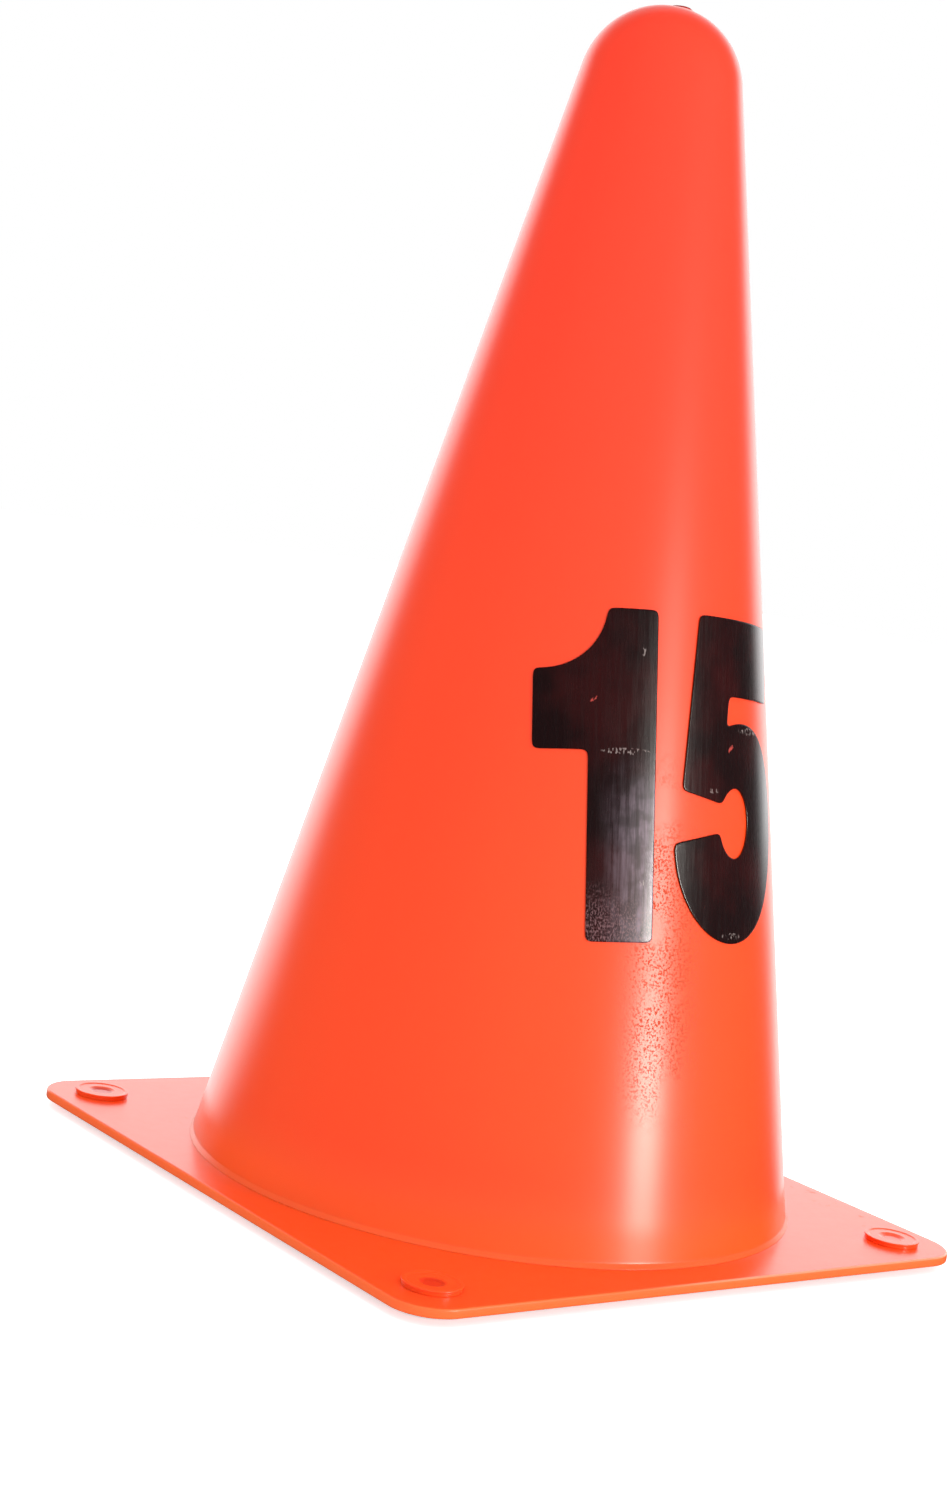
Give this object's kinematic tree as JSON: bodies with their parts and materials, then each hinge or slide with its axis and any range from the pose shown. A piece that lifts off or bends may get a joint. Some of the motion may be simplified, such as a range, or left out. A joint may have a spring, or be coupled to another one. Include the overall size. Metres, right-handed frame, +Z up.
{
  "type": "sports marker cone",
  "caption": "Hollow round-tipped training marker cone with a printed number, snapped into a square base plate that stands on corner feet.",
  "frame": {"origin": "middle of the square footprint, on the ground under the feet", "axes": "+Z up along the cone's axis, X and Y square to the plate's sides, the number faces -Y"},
  "size_m": [0.1324, 0.1324, 0.2286],
  "materials": {
    "cone_plastic": "satin",
    "base_plastic": "satin",
    "number_film": "gloss"
  },
  "bodies": {
    "root": {"cone_shell": "cone_plastic", "base_plate": "base_plastic", "foot_front_left": "base_plastic", "foot_front_right": "base_plastic", "foot_back_right": "base_plastic", "foot_back_left": "base_plastic", "digit_1": "number_film", "digit_5": "number_film"}
  },
  "joints": []
}
